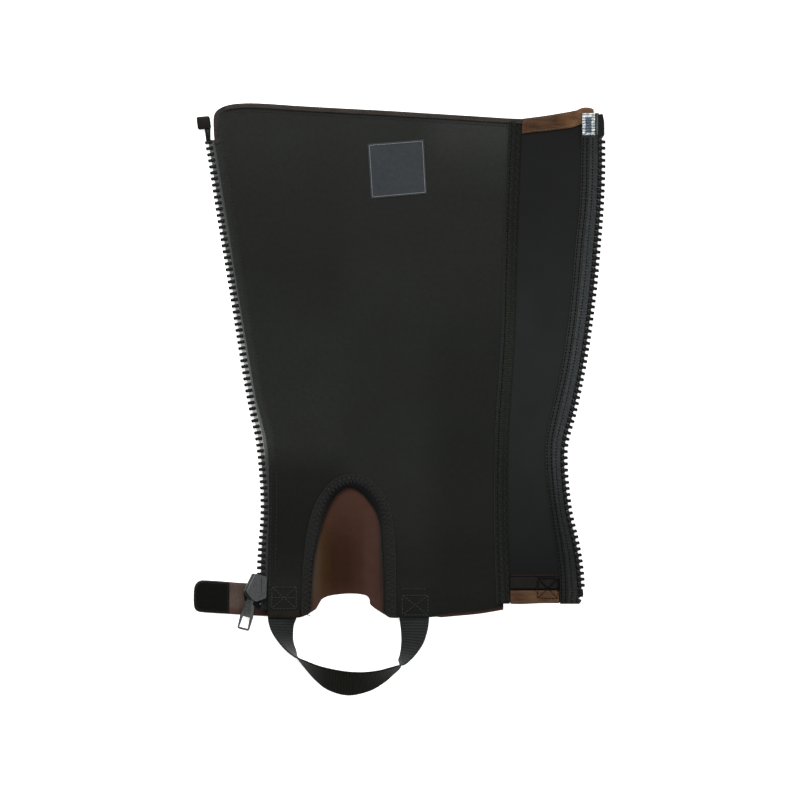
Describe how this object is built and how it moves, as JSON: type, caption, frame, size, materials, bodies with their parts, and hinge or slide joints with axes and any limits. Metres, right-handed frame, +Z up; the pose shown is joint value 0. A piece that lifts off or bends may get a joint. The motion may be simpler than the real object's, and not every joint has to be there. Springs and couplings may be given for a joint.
{
  "type": "half chap",
  "caption": "Half chap for one lower leg, unzipped and laid open with its lining up: leather panel, stretch gusset, separating zip, stirrup strap and fastening tab.",
  "frame": {"origin": "on the surface that the chap lies on, under the middle of its outline", "axes": "+Y towards the knee end, +X towards the gusset side, +Z up, away from the surface"},
  "size_m": [0.3455, 0.4969, 0.0239],
  "materials": {
    "leather": "smooth brown, waxed",
    "leather_band": "smooth tan brown",
    "leather_binding": "dark, folded edge",
    "lining": "black napped cloth",
    "welt": "black with overlock sewing",
    "elastic": "black ribbed elastic",
    "webbing": "black woven elastic",
    "zip_tape": "dark woven tape",
    "zip_plastic": "black, moulded",
    "zip_film": "clear film",
    "zip_metal": "gunmetal grey",
    "hook": "black hook tape",
    "label": "printed film, blank"
  },
  "bodies": {
    "chap": {"shell_main": "leather", "lining_main": "lining", "arch_trim": "lining", "top_binding": "leather_binding", "label_patch": "label", "seam_welt": "welt", "elastic_gusset": "elastic", "gusset_top_band": "leather_band", "gusset_bottom_band": "leather", "gusset_bottom_tape": "zip_tape", "zip_tape_left": "zip_tape", "zip_tape_right": "zip_tape", "zip_teeth_left": "zip_plastic", "zip_teeth_right": "zip_plastic", "zip_box_left": "zip_plastic", "zip_pin_right": "zip_plastic", "zip_film_right": "zip_film", "zip_stop_right": "zip_plastic", "zip_slider": "zip_metal", "stirrup_strap": "webbing", "tab_leather": "leather", "tab_hook_patch": "hook"},
    "pull_tab": {"zip_pull": "zip_metal"}
  },
  "joints": [
    {"name": "pull_swivel", "type": "hinge", "parent": "chap", "child": "pull_tab", "pos_m": [-0.12365, -0.1632, 0.00491], "axis": [-0.3296, 0.0914, -0.9397], "range_deg": [0, 45]}
  ]
}
